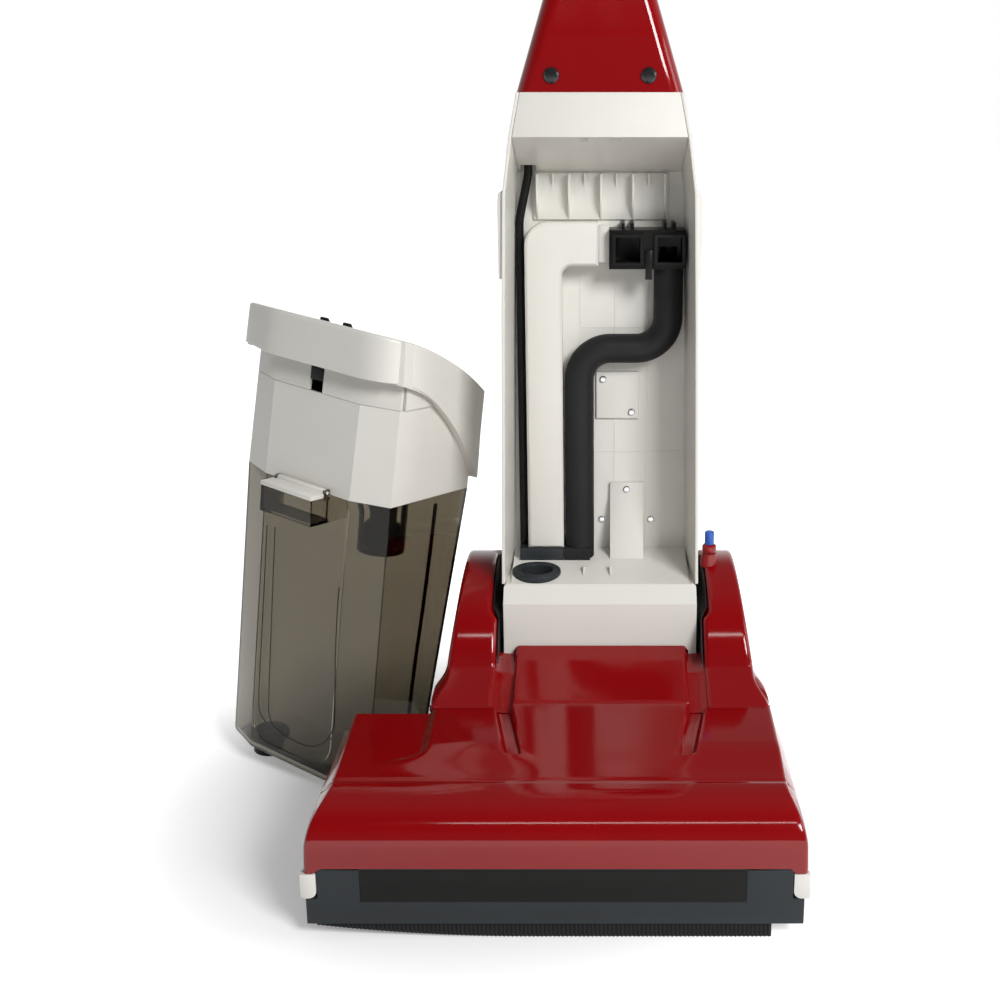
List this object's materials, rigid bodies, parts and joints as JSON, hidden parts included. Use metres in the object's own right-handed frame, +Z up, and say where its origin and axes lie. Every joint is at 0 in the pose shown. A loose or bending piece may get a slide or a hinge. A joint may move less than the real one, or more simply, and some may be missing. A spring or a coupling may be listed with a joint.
{
  "type": "floor scrubber",
  "caption": "Upright floor scrubber-dryer: red roller-brush head, hinged cream spine with an open tank bay, ducts and hose, and its smoky tank set standing beside it.",
  "frame": {"origin": "middle of the whole set's footprint, on the floor", "axes": "+Z up along the upright, the machine's front and its brush towards -Y, its right-hand side towards +X"},
  "size_m": [0.5612, 0.4514, 1.125],
  "materials": {
    "red_shell": "gloss",
    "cream_shell": "satin",
    "smoky_tank": "clear smoky",
    "grey_plastic": "satin",
    "black_plastic": "matte",
    "black_rubber": "matte",
    "switch_red": "gloss",
    "blue_knob": "gloss",
    "sheet_metal": "satin",
    "steel": "brushed",
    "motor_metal": "cast",
    "brush_plastic": "matte",
    "screw_black": "gloss",
    "screw_steel": "bright",
    "handle_metal": "satin"
  },
  "bodies": {
    "base": {"front_cover": "red_shell", "bonnet": "red_shell", "left_pivot_cover": "red_shell", "right_pivot_cover": "red_shell", "chassis": "sheet_metal", "bumper": "grey_plastic", "bumper_strip": "black_plastic", "front_lip": "black_rubber", "squeegee_holder": "black_plastic", "squeegee_blade": "black_rubber", "brush_motor": "motor_metal", "drive_belt": "black_rubber", "pivot_pins": "steel", "wheel_axles": "steel", "adjuster_collar": "red_shell"},
    "brush": {"brush_core": "brush_plastic", "bristles": "brush_plastic"},
    "motor_drive": {"motor_pulley": "motor_metal"},
    "wheel_left": {"left_wheel": "black_rubber"},
    "wheel_right": {"right_wheel": "black_rubber"},
    "latch_left": {"left_latch": "cream_shell"},
    "latch_right": {"right_latch": "cream_shell"},
    "knob": {"adjuster_knob": "blue_knob"},
    "upright": {"lower_block": "cream_shell", "spine_channel": "cream_shell", "top_band": "cream_shell", "rib_panel": "cream_shell", "rear_cover": "cream_shell", "cord_gland": "black_plastic", "air_duct": "cream_shell", "foot_plate": "grey_plastic", "port_manifold": "black_plastic", "suction_hose": "black_rubber", "bay_cable": "black_plastic", "inspection_plate": "cream_shell", "gusset_bracket": "cream_shell", "bay_screws": "screw_steel", "tank_socket": "grey_plastic", "vacuum_motor": "motor_metal", "neck": "red_shell", "neck_screws": "screw_black", "handle_tube": "handle_metal", "grip": "black_plastic"},
    "fan": {"vacuum_fan": "motor_metal"},
    "cord_hook": {"upper_cord_hook": "black_plastic"},
    "trigger": {"trigger": "black_plastic"},
    "rocker_left": {"left_rocker": "switch_red"},
    "rocker_right": {"right_rocker": "switch_red"},
    "tank": {"tank_shell": "smoky_tank", "tank_upper": "cream_shell", "hood": "cream_shell", "float_cage": "black_plastic", "outlet_spigot": "black_plastic", "port_seals": "black_rubber"},
    "latch_tank": {"tank_latch": "black_plastic"},
    "flap": {"filler_flap": "cream_shell"},
    "float": {"float_body": "black_plastic"},
    "valve": {"valve_pin": "black_plastic"}
  },
  "joints": [
    {"name": "upright_tilt", "type": "hinge", "parent": "base", "child": "upright", "pos_m": [0.10762, 0.09475, 0.105], "axis": [-1, 0, 0], "range_deg": [0, 60]},
    {"name": "brush_spin", "type": "hinge", "parent": "base", "child": "brush", "pos_m": [0.10762, -0.15025, 0.046], "axis": [1, 0, 0], "continuous": true},
    {"name": "motor_spin", "type": "hinge", "parent": "base", "child": "motor_drive", "pos_m": [0.24562, -0.05325, 0.08], "axis": [1, 0, 0], "continuous": true},
    {"name": "left_wheel_spin", "type": "hinge", "parent": "base", "child": "wheel_left", "pos_m": [-0.01738, 0.13975, 0.038], "axis": [1, 0, 0], "continuous": true},
    {"name": "right_wheel_spin", "type": "hinge", "parent": "base", "child": "wheel_right", "pos_m": [0.23262, 0.13975, 0.038], "axis": [1, 0, 0], "continuous": true},
    {"name": "left_latch_swing", "type": "hinge", "parent": "base", "child": "latch_left", "pos_m": [-0.13488, -0.14525, 0.049], "axis": [0, 0, -1], "range_deg": [0, 40]},
    {"name": "right_latch_swing", "type": "hinge", "parent": "base", "child": "latch_right", "pos_m": [0.27612, -0.14525, 0.049], "axis": [0, 0, 1], "range_deg": [0, 40]},
    {"name": "adjuster_turn", "type": "hinge", "parent": "base", "child": "knob", "pos_m": [0.21562, 0.07475, 0.25], "axis": [0, 0, 1], "range_deg": [0, 270]},
    {"name": "fan_spin", "type": "hinge", "parent": "upright", "child": "fan", "pos_m": [0.15262, 0.09475, 0.105], "axis": [1, 0, 0], "continuous": true},
    {"name": "cord_hook_turn", "type": "hinge", "parent": "upright", "child": "cord_hook", "pos_m": [0.10762, 0.13875, 0.61], "axis": [0, 1, 0], "range_deg": [0, 180]},
    {"name": "trigger_pull", "type": "hinge", "parent": "upright", "child": "trigger", "pos_m": [0.10762, 0.07275, 1.105], "axis": [1, 0, 0], "range_deg": [0, 8], "stiffness_Nm_per_rad": 0.4, "springref_deg": -11.46},
    {"name": "left_rocker_tilt", "type": "hinge", "parent": "upright", "child": "rocker_left", "pos_m": [0.10112, 0.07025, 1.005], "axis": [1, 0, 0], "range_deg": [-8, 8]},
    {"name": "right_rocker_tilt", "type": "hinge", "parent": "upright", "child": "rocker_right", "pos_m": [0.11412, 0.07025, 1.005], "axis": [1, 0, 0], "range_deg": [-8, 8]},
    {"name": "tank_lift", "type": "slide", "parent": "base", "child": "tank", "axis": [0, 0, 1], "range_m": [0, 0.25]},
    {"name": "tank_latch_press", "type": "slide", "parent": "tank", "child": "latch_tank", "axis": [-0.1208, 0.0054, -0.9927], "range_m": [0, 0.008], "stiffness_N_per_m": 300, "springref_m": -0.003},
    {"name": "filler_flap_open", "type": "hinge", "parent": "tank", "child": "flap", "pos_m": [-0.17883, 0.05486, 0.3144], "axis": [-0.8335, 0.5427, 0.1043], "range_deg": [0, 85]},
    {"name": "float_rise", "type": "slide", "parent": "tank", "child": "float", "axis": [0.1208, -0.0054, 0.9927], "range_m": [0, 0.02]},
    {"name": "valve_lift", "type": "slide", "parent": "tank", "child": "valve", "axis": [0.1208, -0.0054, 0.9927], "range_m": [0, 0.005], "stiffness_N_per_m": 200, "springref_m": -0.003}
  ],
  "couplings": [
    {"joint": "motor_spin", "follows": "brush_spin", "ratio": 1.6923}
  ]
}
